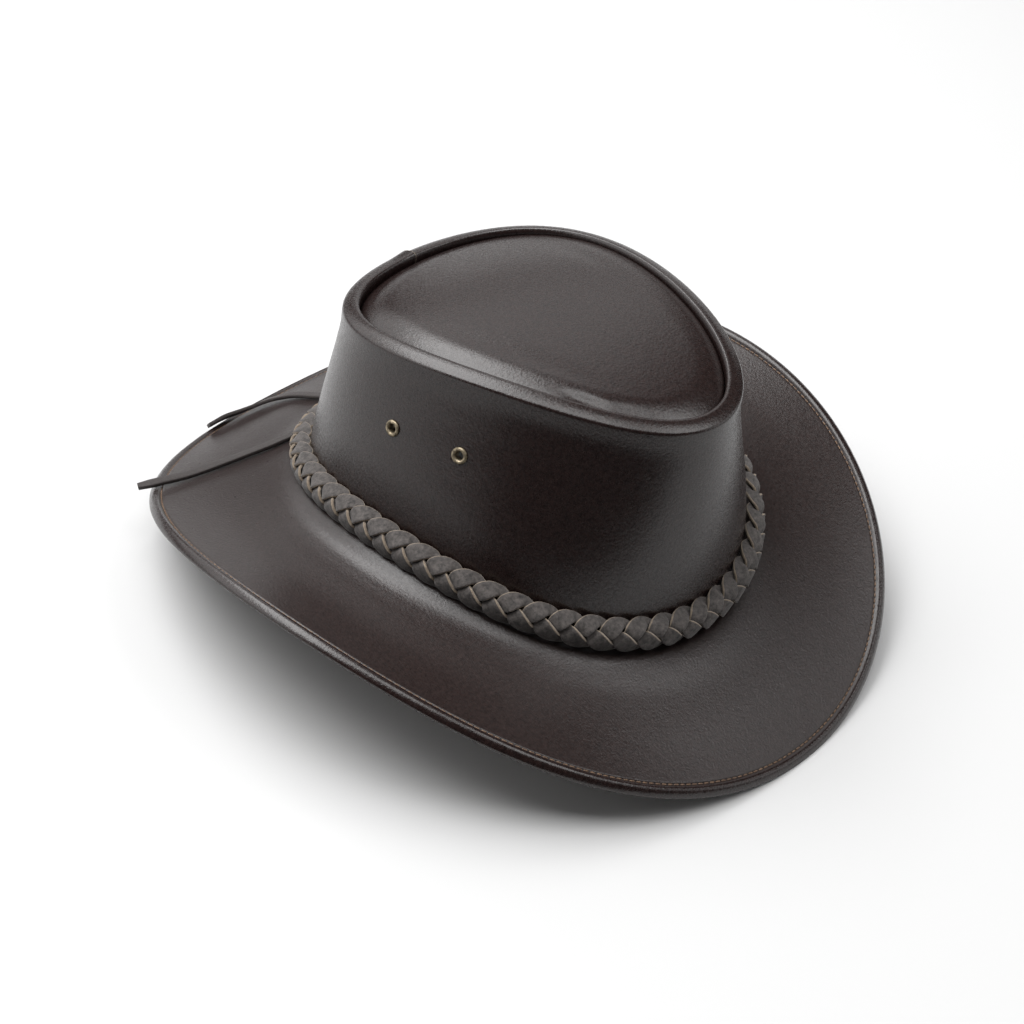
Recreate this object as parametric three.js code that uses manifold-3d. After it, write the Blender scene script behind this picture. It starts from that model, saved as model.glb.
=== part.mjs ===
// A leather western hat with a turned-in crown top, a wired brim and a plaited band.
// Millimetres, +Z up, the front of the hat towards -Y. The origin is on the floor,
// in the middle of the brim. An angle t runs from the front (0) round the wearer's
// right side (90 degrees, -X) to the back (180 degrees).
import * as THREE from "three";
import Module from "manifold-3d";
import { mergeVertices } from "three/addons/utils/BufferGeometryUtils.js";

const wasm = await Module();
wasm.setup();

// Leather
const WALL_LEATHER = 2;
const TOP_LEATHER = 2;
const BRIM_LEATHER = 2.2;
const GAP = 0.3; // clearance between pieces that touch in the real hat

// Crown where it meets the brim, outside of the leather
const CROWN_LENGTH = 205.5;
const CROWN_WIDTH = 171;
const CROWN_BACK_SHIFT = 1.5;
const BREAK_HEIGHT = 42.5; // mean height over the floor
const BREAK_PITCH = 0.9; // the front lies this much higher than the middle, the back lower
const BREAK_SADDLE = 11.2; // the sides lie this much higher, the front and back lower

// Seam of the crown top, a teardrop with its narrow end at the front
const TOP_LENGTH = 169.6;
const TOP_WIDTH = 120;
const TOP_FORWARD_SHIFT = 1.7;
const CROWN_HEIGHT = 91.8; // mean height over the brim break
const TOP_SADDLE = 5.8;
const TOP_PITCH = 5.8;

// Rolled rim round the crown top
const RIM_WIDTH = 7.4;
const RIM_RISE = 3.4;
const SEAM_DEPTH = 7;

// Crown top panel
const DOME_RISE = 9;
const PANEL_SHOULDER = 3; // radius with which the panel turns down into the seam

// Brim
const BRIM_LENGTH = 336.6;
const BRIM_WIDTH = 314;
const BRIM_SIDE_RISE = 59; // edge at the sides, over the edge at the front and back
const COLLAR_HEIGHT = 13; // turned up inside the crown wall
const HEM_WIDTH = 5.6;
const HEM_THICKNESS = 4.2;
const HEM_FOLD = 9; // width of the fold underneath
const STITCH_GROOVE = 0.5;
const REST_HEIGHT = 0.3; // middle of the hem over the floor, where it is pressed flat

// Plaited band of three strips
const STRIP_WIDTH = 6.2;
const STRIP_TUCKED_WIDTH = 3.4; // where a strip is squeezed under its neighbour
const STRIP_THICKNESS = 1.6;
const STRIP_LIFT = 1.14; // height of a strip over and under the middle of the plait
const PLAIT_SWING = 5.4; // how far a strip's middle swings to each side
const PLAIT_ARCH = 1.2;
const PLAITS = 19; // full turns of each strip round the hat
const BAND_OUT = 5.8; // middle of the band outside the brim break
const BAND_UP = 9.6; // middle of the band over the brim break
const BAND_LEAN = THREE.MathUtils.degToRad(26); // its top leans in towards the crown

// Knot that ties the band's ends at the back, and its two loose ends
const KNOT_LENGTH = 20;
const KNOT_THICKNESS = 7.2;
const KNOT_WIDTH = 19;
const KNOT_TURNS = 4;
const KNOT_SIDES = 8;
const TAIL_WIDTH = 5.2;
const TAIL_THICKNESS = 1.8;

// Eyelets
const EYELET_FLANGE = 7.3;
const EYELET_BARREL = 4.6;
const EYELET_BORE = 3.6;
const EYELET_METAL = 0.6;
const EYELET_SIDES = 10;
const EYELETS = [
  { name: "eyelet_right_back", side: 1, degrees: 101.3, up: 0.626 },
  { name: "eyelet_right_front", side: 1, degrees: 80.6, up: 0.646 },
  { name: "eyelet_left_back", side: -1, degrees: 101.3, up: 0.626 },
  { name: "eyelet_left_front", side: -1, degrees: 80.6, up: 0.646 },
];

const COLUMNS = 48; // steps round the hat

// The three lines that carry the whole shape. egg widens the front and narrows the
// back, square widens both ends, and pitch and saddle bend the line up and down.
const BREAK = {
  halfLength: CROWN_LENGTH / 2,
  halfWidth: CROWN_WIDTH / 2,
  centre: CROWN_BACK_SHIFT,
  egg: 0.03,
  square: 0.057,
  height: BREAK_HEIGHT,
  pitch: BREAK_PITCH,
  saddle: BREAK_SADDLE,
};
const SEAM = {
  halfLength: TOP_LENGTH / 2,
  halfWidth: TOP_WIDTH / 2,
  centre: -TOP_FORWARD_SHIFT,
  egg: -0.256,
  square: 0.056,
  height: BREAK_HEIGHT + CROWN_HEIGHT,
  pitch: TOP_PITCH,
  saddle: TOP_SADDLE,
};
const EDGE = {
  halfLength: BRIM_LENGTH / 2,
  halfWidth: BRIM_WIDTH / 2,
  centre: 0,
  egg: -0.016,
  square: 0.045,
  height: REST_HEIGHT + BRIM_SIDE_RISE / 2,
  pitch: 0,
  saddle: BRIM_SIDE_RISE / 2,
};

// Crown wall from the brim (up 0) to the rim (up 1); lean 1 stands over the brim
// break, lean 0 under the rim.
const WALL_SECTION = [
  { up: 0, lean: 1 },
  { up: 0.14, lean: 0.95 },
  { up: 0.32, lean: 0.78 },
  { up: 0.6, lean: 0.42 },
  { up: 0.84, lean: 0.1 },
  { up: 0.95, lean: -0.07 },
];

// Brim from the crown (out 0) to the edge (out 1). side and end are the heights over
// a straight line, as shares of the brim's reach, at the sides and at front and back.
const BRIM_SECTION = [
  { out: 0.12, side: -0.01, end: 0.03 },
  { out: 0.36, side: -0.075, end: 0.03 },
  { out: 0.58, side: -0.075, end: 0.03 },
  { out: 0.78, side: -0.045, end: 0.018 },
];

// Hem from its inner side outwards: in from the edge as a share of its width, and
// the height of the upper and lower face as shares of half its thickness.
const HEM_SECTION = [
  { in: 0.7, upper: 0.85, lower: -1 },
  { in: 0.3, upper: 0.95, lower: -0.95 },
  { in: 0, upper: 0.45, lower: -0.55 },
];

// One strip of the plait over half a turn, from one side of the band to the other:
// over its neighbour, then down and under the next one.
const STRIP_PATH = [
  { degrees: 0, lift: 0, width: 0.75 },
  { degrees: 33, lift: 1, width: 1 },
  { degrees: 73, lift: 1, width: 0.9 },
  { degrees: 96, lift: -1, width: 0 },
  { degrees: 147, lift: -1, width: 0 },
];

// Routes of the loose ends, from the knot over the brim to past its edge. lean is how
// far the lace's broad side, which faces up, leans to the back, in degrees.
const RIGHT_TAIL_ROUTE = [
  { at: [-8.8, 116.3, 30.2], lean: 26 },
  { at: [-15, 115.2, 29.5], lean: 24 },
  { at: [-22, 113.2, 30], lean: 24 },
  { at: [-30, 110.9, 31.1], lean: 22 },
  { at: [-38.5, 110.4, 31.2], lean: 22 },
  { at: [-45, 111.8, 30.5], lean: 22 },
  { at: [-52, 113.6, 29.7], lean: 20 },
  { at: [-65.3, 117.1, 28.6], lean: 18 },
  { at: [-79, 120.3, 28], lean: 14 },
  { at: [-91, 123, 28.1], lean: 10 },
  { at: [-99, 124.8, 28.9], lean: 8 },
  { at: [-104.5, 126, 29.6], lean: 8 },
  { at: [-109, 127.8, 29.5], lean: 8 },
  { at: [-113.5, 130.5, 28.7], lean: 8 },
];
const LEFT_TAIL_ROUTE = [
  { at: [4.6, 114.9, 32], lean: 35 },
  { at: [5, 119.6, 28.3], lean: 31 },
  { at: [5.4, 126, 24.6], lean: 24 },
  { at: [5.2, 131.5, 22.1], lean: 24 },
  { at: [4.7, 137, 19.6], lean: 24 },
  { at: [4.3, 142.5, 17.2], lean: 25 },
  { at: [3.6, 147.5, 14.8], lean: 27 },
  { at: [1.9, 151.8, 12.7], lean: 30 },
  { at: [-1.2, 155, 11.2], lean: 34 },
  { at: [-5.2, 157.3, 10.2], lean: 38 },
  { at: [-10.5, 158.9, 9.5], lean: 44 },
  { at: [-20, 161, 8.9], lean: 50 },
  { at: [-29.2, 163.1, 8.5], lean: 53 },
  { at: [-38.9, 163.3, 8.2], lean: 53 },
];

const UP = new THREE.Vector3(0, 0, 1);

function leather(colour, roughness) {
  return new THREE.MeshStandardMaterial({ color: colour, roughness, metalness: 0 });
}
const CROWN_LEATHER = leather("#2b2422", 0.42);
const PANEL_LEATHER = leather("#2e2725", 0.42);
const BRIM_HIDE = leather("#2c2523", 0.45);
const STRIP_LEATHER = leather("#37312e", 0.75);
const ANTIQUE_BRASS = new THREE.MeshStandardMaterial({
  color: "#9a8768",
  roughness: 0.45,
  metalness: 1,
});

// Lines round the hat

function loopPoint(loop, t) {
  const full = 1 + loop.egg * Math.cos(t) + loop.square * (1 + Math.cos(2 * t));
  return new THREE.Vector3(
    -loop.halfWidth * Math.sin(t) * full,
    loop.centre - loop.halfLength * Math.cos(t),
    loop.height + loop.pitch * Math.cos(t) - loop.saddle * Math.cos(2 * t),
  );
}

// Level direction that points away from the hat, square to the loop.
function outward(loop, t) {
  const step = 1e-3;
  const along = loopPoint(loop, t + step).sub(loopPoint(loop, t - step));
  return new THREE.Vector3(-along.y, along.x, 0).normalize();
}

// A point beside a loop, out and up from it.
function beside(loop, t, out, up) {
  return loopPoint(loop, t).addScaledVector(outward(loop, t), out).addScaledVector(UP, up);
}

// Meshes

function closedMesh(points, triangles) {
  const geometry = new THREE.BufferGeometry();
  const places = points.flatMap((point) => point.toArray());
  geometry.setAttribute("position", new THREE.Float32BufferAttribute(places, 3));
  geometry.setIndex(triangles);
  return geometry;
}

function quad(triangles, a, b, c, d) {
  triangles.push(a, b, c, a, c, d);
}

// A closed skin through sections that follow each other. Each section is a list of
// points; round sections join their last point to their first, and a ring joins its
// last section to its first, while an open run is closed with a fan at each end.
function skin(sections, isRing) {
  const size = sections[0].length;
  const points = sections.flat();
  const triangles = [];
  const runs = isRing ? sections.length : sections.length - 1;
  for (let i = 0; i < runs; i++) {
    const here = i * size;
    const next = ((i + 1) % sections.length) * size;
    for (let j = 0; j < size; j++) {
      const k = (j + 1) % size;
      quad(triangles, here + j, here + k, next + k, next + j);
    }
  }
  if (!isRing) {
    const last = (sections.length - 1) * size;
    for (let j = 1; j < size - 1; j++) {
      triangles.push(0, j + 1, j);
      triangles.push(last, last + j, last + j + 1);
    }
  }
  return closedMesh(points, triangles);
}

// The inner face of a leather wall, square to its outer face. faceAt gives the outer
// face's point for a column and a row.
function innerFace(faceAt, column, row, rows, thickness) {
  const across = faceAt(column + 1, row).sub(faceAt(column - 1, row));
  const upper = faceAt(column, Math.min(row + 1, rows - 1));
  const along = upper.sub(faceAt(column, Math.max(row - 1, 0)));
  const normal = along.cross(across).normalize();
  return faceAt(column, row).addScaledVector(normal, -thickness);
}

// Half a step off the front, so that a facet faces the floor there.
function angleOf(column) {
  return (2 * Math.PI * (column + 0.5)) / COLUMNS;
}

function solidOf(geometry) {
  const bare = geometry.clone().deleteAttribute("normal").deleteAttribute("uv");
  const merged = mergeVertices(bare, 1e-4);
  return new wasm.Manifold(
    new wasm.Mesh({
      numProp: 3,
      vertProperties: new Float32Array(merged.attributes.position.array),
      triVerts: new Uint32Array(merged.index.array),
    }),
  );
}

function geometryOf(solid) {
  const mesh = solid.getMesh();
  const geometry = new THREE.BufferGeometry();
  geometry.setAttribute("position", new THREE.BufferAttribute(mesh.vertProperties, 3));
  geometry.setIndex(new THREE.BufferAttribute(mesh.triVerts, 1));
  return geometry;
}

const hat = new THREE.Group();

function addPiece(name, geometry, material) {
  geometry.computeVertexNormals();
  const mesh = new THREE.Mesh(geometry, material);
  mesh.name = name;
  hat.add(mesh);
  return mesh;
}

// Crown wall

// Outer face of the crown wall, from the brim (up 0) to the rim's outer side (up 1).
function wallPoint(t, up, lean) {
  const foot = beside(BREAK, t, 0, GAP);
  const head = beside(SEAM, t, RIM_WIDTH, -RIM_RISE / 2);
  const point = head.clone().lerp(foot, lean);
  point.z = foot.z + (head.z - foot.z) * up;
  return point;
}

function wallLean(up) {
  const rows = [...WALL_SECTION, { up: 1, lean: 0 }];
  const i = Math.max(1, rows.findIndex((row) => row.up >= up));
  const share = (up - rows[i - 1].up) / (rows[i].up - rows[i - 1].up);
  return THREE.MathUtils.lerp(rows[i - 1].lean, rows[i].lean, share);
}

function outwardFromWall(t, up) {
  const step = 1e-2;
  const at = (angle, height) => wallPoint(angle, height, wallLean(height));
  const across = at(t + step, up).sub(at(t - step, up));
  const along = at(t, up + step).sub(at(t, up - step));
  return along.cross(across).normalize();
}

const ROLL_STEPS = 4;

// The rim rolls over from the wall and goes down into the seam.
function rimPoint(t, step) {
  const a = (Math.PI * step) / ROLL_STEPS;
  const out = (RIM_WIDTH / 2) * (1 + Math.cos(a));
  return beside(SEAM, t, out, RIM_RISE * Math.sin(a) - RIM_RISE / 2);
}

function wallFace(column, row) {
  const t = angleOf(column);
  if (row < WALL_SECTION.length) {
    return wallPoint(t, WALL_SECTION[row].up, WALL_SECTION[row].lean);
  }
  const step = row - WALL_SECTION.length;
  return step <= ROLL_STEPS ? rimPoint(t, step) : beside(SEAM, t, 0, -SEAM_DEPTH);
}

// One section of the wall, up its outer face and down its inner face. Its lower edge
// is cut level.
function wallSection(column) {
  const rows = WALL_SECTION.length + ROLL_STEPS + 2;
  const outer = Array.from({ length: rows }, (_, row) => wallFace(column, row));
  const inner = outer.map((_, row) => innerFace(wallFace, column, row, rows, WALL_LEATHER));
  inner[0].z = outer[0].z;
  return [...outer, ...inner.reverse()];
}

function eyeletPlace(eyelet) {
  const t = eyelet.side * THREE.MathUtils.degToRad(eyelet.degrees);
  const point = wallPoint(t, eyelet.up, wallLean(eyelet.up));
  return { point, normal: outwardFromWall(t, eyelet.up) };
}

function crownWall() {
  const sections = Array.from({ length: COLUMNS }, (_, column) => wallSection(column));
  let wall = solidOf(skin(sections, true));
  const hole = EYELET_BARREL / 2 + GAP;
  for (const eyelet of EYELETS) {
    const { point, normal } = eyeletPlace(eyelet);
    const drill = new THREE.CylinderGeometry(hole, hole, 6 * WALL_LEATHER, 12);
    const turn = new THREE.Quaternion().setFromUnitVectors(new THREE.Vector3(0, 1, 0), normal);
    drill.applyQuaternion(turn);
    drill.translate(point.x, point.y, point.z);
    wall = wall.subtract(solidOf(drill));
  }
  return geometryOf(wall);
}

addPiece("crown_wall", crownWall(), CROWN_LEATHER);

// Crown top

const PANEL_RINGS = [0.9, 0.74, 0.52, 0.27];
const SHOULDER_STEPS = 2;

// Height of the panel over its seam, from the middle (share 0) to the seam (share 1).
function panelPoint(t, share) {
  const seam = beside(SEAM, t, -GAP, 0);
  const middle = new THREE.Vector3(0, SEAM.centre, SEAM.height + DOME_RISE);
  const point = middle.clone().lerp(seam, share);
  point.z = THREE.MathUtils.lerp(middle.z, seam.z, share ** 2.2);
  return point;
}

function panelFace(column, row) {
  const t = angleOf(column);
  if (row === 0) return beside(SEAM, t, -GAP, -SEAM_DEPTH);
  if (row <= SHOULDER_STEPS + 1) {
    const a = (Math.PI / 2) * ((row - 1) / SHOULDER_STEPS);
    const drop = PANEL_SHOULDER * (1 - Math.sin(a));
    const inset = PANEL_SHOULDER * (1 - Math.cos(a));
    return beside(SEAM, t, -GAP - inset, -drop);
  }
  return panelPoint(t, PANEL_RINGS[row - SHOULDER_STEPS - 2]);
}

function crownTop() {
  const rows = PANEL_RINGS.length + SHOULDER_STEPS + 2;
  const points = [];
  const triangles = [];
  for (const isInner of [false, true]) {
    for (let row = 0; row < rows; row++) {
      for (let column = 0; column < COLUMNS; column++) {
        const inner = innerFace(panelFace, column, row, rows, TOP_LEATHER);
        points.push(isInner ? inner : panelFace(column, row));
      }
    }
  }
  const outer = (row, column) => row * COLUMNS + (column % COLUMNS);
  const inner = (row, column) => rows * COLUMNS + outer(row, column);
  for (let column = 0; column < COLUMNS; column++) {
    const next = column + 1;
    for (let row = 0; row < rows - 1; row++) {
      const above = row + 1;
      quad(triangles, outer(row, column), outer(above, column), outer(above, next), outer(row, next));
      quad(triangles, inner(row, column), inner(row, next), inner(above, next), inner(above, column));
    }
    quad(triangles, outer(0, column), outer(0, next), inner(0, next), inner(0, column));
  }
  const middle = panelPoint(0, 0);
  points.push(middle, middle.clone().addScaledVector(UP, -TOP_LEATHER));
  const [upper, lower] = [points.length - 2, points.length - 1];
  for (let column = 0; column < COLUMNS; column++) {
    triangles.push(outer(rows - 1, column + 1), outer(rows - 1, column), upper);
    triangles.push(inner(rows - 1, column), inner(rows - 1, column + 1), lower);
  }
  return closedMesh(points, triangles);
}

addPiece("crown_top", crownTop(), PANEL_LEATHER);

// Brim

// Where the brim's middle layer lies, from the break (out 0) to the edge (out 1).
function brimPoint(t, out) {
  const start = beside(BREAK, t, 0, -BRIM_LEATHER / 2);
  const end = loopPoint(EDGE, t);
  const rows = [{ out: 0, side: 0, end: 0 }, ...BRIM_SECTION, { out: 1, side: 0, end: 0 }];
  const i = Math.max(1, rows.findIndex((row) => row.out >= out));
  const share = (out - rows[i - 1].out) / (rows[i].out - rows[i - 1].out);
  const side = THREE.MathUtils.lerp(rows[i - 1].side, rows[i].side, share);
  const ends = THREE.MathUtils.lerp(rows[i - 1].end, rows[i].end, share);
  const rise = THREE.MathUtils.lerp(ends, side, Math.sin(t) ** 2);
  const point = start.clone().lerp(end, out);
  point.z += rise * start.distanceTo(end);
  return point;
}

// Direction square to the brim, pointing up.
function brimNormal(t, out) {
  const step = 0.02;
  const across = brimPoint(t + step, out).sub(brimPoint(t - step, out));
  const along = brimPoint(t, Math.min(1, out + step)).sub(brimPoint(t, Math.max(0, out - step)));
  return across.cross(along).normalize();
}

function brimFace(t, out, height) {
  return brimPoint(t, out).addScaledVector(brimNormal(t, out), height);
}

function restOnFloor(point) {
  point.z = Math.max(0, point.z);
  return point;
}

// A face of the collar, the given depth inside the crown wall's outer face.
function collarPoint(t, height, depth) {
  const up = height / (loopPoint(SEAM, t).z - loopPoint(BREAK, t).z);
  return wallPoint(t, up, wallLean(up)).addScaledVector(outwardFromWall(t, up), -depth);
}

function brimSection(t) {
  const reach = loopPoint(BREAK, t).distanceTo(loopPoint(EDGE, t));
  const half = BRIM_LEATHER / 2;
  const outerDepth = WALL_LEATHER + GAP;
  const innerDepth = outerDepth + BRIM_LEATHER;
  const inFromEdge = (distance, height) => brimFace(t, 1 - distance / reach, height);
  const hem = (row, side) => inFromEdge(row.in * HEM_WIDTH, (row[side] * HEM_THICKNESS) / 2);
  const upper = [
    collarPoint(t, COLLAR_HEIGHT, outerDepth),
    beside(BREAK, t, -outerDepth, 0),
    ...BRIM_SECTION.map((row) => brimFace(t, row.out, half)),
    inFromEdge(HEM_WIDTH + STITCH_GROOVE, half),
    inFromEdge(HEM_WIDTH, half - STITCH_GROOVE),
    ...HEM_SECTION.map((row) => hem(row, "upper")),
  ];
  const lower = [
    ...[...HEM_SECTION].reverse().map((row) => hem(row, "lower")),
    inFromEdge(HEM_FOLD, -half - BRIM_LEATHER / 2),
    brimFace(t, BRIM_SECTION[2].out, -half),
    brimFace(t, BRIM_SECTION[0].out, -half),
    beside(BREAK, t, 0, -BRIM_LEATHER),
    beside(BREAK, t, -innerDepth, 0),
    collarPoint(t, COLLAR_HEIGHT, innerDepth),
  ];
  return [...upper, ...lower.map(restOnFloor)].reverse();
}

const brimSections = Array.from({ length: COLUMNS }, (_, column) => brimSection(angleOf(column)));
addPiece("brim", skin(brimSections, true), BRIM_HIDE);

// Plaited band

// A place in the band: t round the hat, across it (upwards) and out from its middle.
function bandPoint(t, across, out) {
  const [lean, rise] = [Math.sin(BAND_LEAN), Math.cos(BAND_LEAN)];
  const level = BAND_OUT - across * lean + out * rise;
  return beside(BREAK, t, level, BAND_UP + across * rise + out * lean);
}

// How long the band's middle line is from the front to each of many even angles.
function bandLine() {
  const samples = 720;
  const lengths = [0];
  for (let i = 1; i <= samples; i++) {
    const [a, b] = [i - 1, i].map((k) => bandPoint((2 * Math.PI * k) / samples, 0, 0));
    lengths.push(lengths[i - 1] + a.distanceTo(b));
  }
  return { lengths, samples, total: lengths[samples] };
}
const BAND_LINE = bandLine();

// The angle t at a length measured from the back, going round the left side first.
function angleAt(length) {
  const fromFront = (length + BAND_LINE.total / 2) % BAND_LINE.total;
  const i = Math.max(1, BAND_LINE.lengths.findIndex((value) => value >= fromFront));
  const [a, b] = [BAND_LINE.lengths[i - 1], BAND_LINE.lengths[i]];
  return (2 * Math.PI * (i - 1 + (fromFront - a) / (b - a))) / BAND_LINE.samples;
}

// The knot is a lace wound round both ends of the plait.
function knot() {
  const sections = [];
  const steps = KNOT_TURNS * 3;
  for (let i = 0; i <= steps; i++) {
    const wave = Math.abs(Math.sin((Math.PI * i) / 3));
    const swell = 0.86 + 0.14 * wave;
    const t = angleAt((i / steps - 0.5) * KNOT_LENGTH);
    const section = [];
    for (let j = 0; j < KNOT_SIDES; j++) {
      const a = (-2 * Math.PI * j) / KNOT_SIDES;
      const across = (KNOT_WIDTH / 2) * swell * Math.cos(a);
      const out = (KNOT_THICKNESS / 2) * swell * Math.sin(a);
      section.push(bandPoint(t, across, out));
    }
    sections.push(section);
  }
  return skin(sections, false);
}

const KNOT = addPiece("band_knot", knot(), STRIP_LEATHER);
KNOT.geometry.computeBoundingBox();

function stripPoint(length, phase, lift) {
  const across = PLAIT_SWING * Math.cos(phase);
  const out = lift * STRIP_LIFT - PLAIT_ARCH * Math.cos(phase) ** 2;
  return bandPoint(angleAt(length), across, out);
}

// One strip of the plait, as a flat four-sided section carried along its path. It is
// cut off square at both sides of the knot.
function strip(number) {
  const turn = BAND_LINE.total / PLAITS;
  const shift = (2 * Math.PI * number) / 3;
  const sections = [];
  for (let half = 0; half < 2 * PLAITS + 2; half++) {
    for (const row of STRIP_PATH) {
      const phase = Math.PI * half + THREE.MathUtils.degToRad(row.degrees);
      const length = (turn * (phase - shift)) / (2 * Math.PI);
      if (length > STRIP_WIDTH && length < BAND_LINE.total - STRIP_WIDTH) {
        sections.push(stripSection(length, phase, row));
      }
    }
  }
  const room = KNOT.geometry.boundingBox.clone().expandByScalar(GAP);
  const size = room.getSize(new THREE.Vector3());
  const centre = room.getCenter(new THREE.Vector3());
  const notch = new THREE.BoxGeometry(size.x, 2 * size.y, 2 * size.z);
  notch.translate(centre.x, centre.y, centre.z);
  return geometryOf(solidOf(skin(sections, false)).subtract(solidOf(notch)));
}

function stripSection(length, phase, { lift, width }) {
  const turn = BAND_LINE.total / PLAITS;
  const step = 0.02;
  const centre = stripPoint(length, phase, lift);
  const ahead = stripPoint(length + (step * turn) / (2 * Math.PI), phase + step, lift);
  const t = angleAt(length);
  const across = PLAIT_SWING * Math.cos(phase);
  const out = lift * STRIP_LIFT - PLAIT_ARCH * Math.cos(phase) ** 2;
  const rise = (2 * PLAIT_ARCH * Math.cos(phase)) / PLAIT_SWING;
  const upwards = bandPoint(t, across + 1, out - rise).sub(bandPoint(t, across, out));
  const sideways = bandPoint(t + step, across, out).sub(bandPoint(t - step, across, out));
  const face = upwards.cross(sideways).normalize();
  const along = ahead.sub(centre).normalize();
  const edge = along.clone().cross(face).normalize();
  const half = THREE.MathUtils.lerp(STRIP_TUCKED_WIDTH, STRIP_WIDTH, width) / 2;
  return [
    [-1, 1],
    [1, 1],
    [1, -1],
    [-1, -1],
  ].map(([side, top]) =>
    centre
      .clone()
      .addScaledVector(edge, side * half)
      .addScaledVector(face, (top * STRIP_THICKNESS) / 2),
  );
}

for (const number of [0, 1, 2]) {
  addPiece(`band_strip_${number + 1}`, strip(number), STRIP_LEATHER);
}

// Loose ends

// The path of a flat lace, framed so that its broad side faces up and leans as its
// route says.
class LacePath extends THREE.CatmullRomCurve3 {
  constructor(route) {
    super(route.map((row) => new THREE.Vector3(...row.at)));
    this.leans = route.map((row) => THREE.MathUtils.degToRad(row.lean));
  }

  computeFrenetFrames(steps) {
    const frames = { tangents: [], normals: [], binormals: [] };
    const last = this.leans.length - 1;
    for (let i = 0; i <= steps; i++) {
      const place = this.getUtoTmapping(i / steps) * last;
      const row = Math.min(Math.floor(place), last - 1);
      const lean = THREE.MathUtils.lerp(this.leans[row], this.leans[row + 1], place - row);
      const along = this.getTangentAt(i / steps);
      const face = new THREE.Vector3(0, Math.sin(lean), Math.cos(lean));
      face.addScaledVector(along, -face.dot(along)).normalize();
      frames.tangents.push(along);
      frames.normals.push(face);
      frames.binormals.push(along.clone().cross(face));
    }
    return frames;
  }
}

// A loose end of the lace, a flat section with bevelled edges along its path. The
// section's first axis is its thickness.
function tail(route) {
  const path = new LacePath(route);
  const [thick, wide] = [TAIL_THICKNESS / 2, TAIL_WIDTH / 2];
  const bevel = TAIL_THICKNESS / 4;
  const corners = [
    [thick, bevel - wide],
    [thick, wide - bevel],
    [thick - bevel, wide],
    [bevel - thick, wide],
    [-thick, wide - bevel],
    [-thick, bevel - wide],
    [bevel - thick, -wide],
    [thick - bevel, -wide],
  ];
  const section = new THREE.Shape(corners.map(([x, y]) => new THREE.Vector2(x, y)));
  const steps = Math.round(path.getLength() / (1.5 * TAIL_WIDTH));
  return new THREE.ExtrudeGeometry(section, { steps, extrudePath: path });
}

addPiece("band_tail_right", tail(RIGHT_TAIL_ROUTE), STRIP_LEATHER);
addPiece("band_tail_left", tail(LEFT_TAIL_ROUTE), STRIP_LEATHER);

// Eyelets: a rolled flange outside, a barrel through the leather, a washer inside.
function eyeletGeometry() {
  const [flange, barrel, bore] = [EYELET_FLANGE / 2, EYELET_BARREL / 2, EYELET_BORE / 2];
  const depth = WALL_LEATHER + GAP;
  const profile = [
    [bore, -depth - EYELET_METAL],
    [flange * 0.92, -depth - EYELET_METAL],
    [flange * 0.92, -depth],
    [barrel, -depth],
    [barrel, GAP],
    [flange, GAP],
    [flange - EYELET_METAL * 0.4, GAP + EYELET_METAL],
    [(flange + bore) / 2, GAP + EYELET_METAL * 1.5],
    [bore, GAP + EYELET_METAL * 0.5],
    [bore, -depth - EYELET_METAL],
  ];
  const points = profile.map(([radius, height]) => new THREE.Vector2(radius, height));
  return new THREE.LatheGeometry(points, EYELET_SIDES);
}

for (const eyelet of EYELETS) {
  const { point, normal } = eyeletPlace(eyelet);
  const mesh = addPiece(eyelet.name, eyeletGeometry(), ANTIQUE_BRASS);
  mesh.position.copy(point);
  mesh.quaternion.setFromUnitVectors(new THREE.Vector3(0, 1, 0), normal);
}

export default hat;
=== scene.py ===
# %% [markdown]
# # A leather western hat
#
# The hat is cut from thick waxed leather: a wall round the head, a domed top set into
# the wall's rolled rim, and a wide brim whose edge is folded round a wire. A plaited
# band ties at the back and leaves two loose lace ends on the brim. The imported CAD
# model gives the places. This file gives each piece its real surface.

import math

import bmesh
import bpy
import numpy as np
from mathutils import Matrix, Vector


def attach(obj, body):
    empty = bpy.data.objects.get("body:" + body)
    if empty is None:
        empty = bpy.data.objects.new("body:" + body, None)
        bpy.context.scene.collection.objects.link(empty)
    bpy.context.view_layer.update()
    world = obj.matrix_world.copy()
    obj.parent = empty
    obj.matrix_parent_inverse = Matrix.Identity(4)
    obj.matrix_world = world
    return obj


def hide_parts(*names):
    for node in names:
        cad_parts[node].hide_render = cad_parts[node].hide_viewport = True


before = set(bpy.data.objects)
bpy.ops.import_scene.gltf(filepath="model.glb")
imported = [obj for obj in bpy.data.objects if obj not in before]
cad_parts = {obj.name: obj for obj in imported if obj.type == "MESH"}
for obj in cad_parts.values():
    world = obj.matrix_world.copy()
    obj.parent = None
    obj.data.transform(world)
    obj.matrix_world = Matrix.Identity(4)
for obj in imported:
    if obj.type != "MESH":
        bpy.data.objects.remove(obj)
scene = bpy.context.scene
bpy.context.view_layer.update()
print("nodes:", ", ".join(sorted(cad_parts)))

# %% [markdown]
# ## Camera
#
# A photograph fixes where its camera stood. It was found by matching the rim, the
# band, the eyelets and the outline of the brim: 38 degrees over the floor, off the
# hat's front right corner, held about 7 degrees askew. Typing the three directions of
# the camera is exact, where an aim constraint would lose the slight roll.

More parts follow.
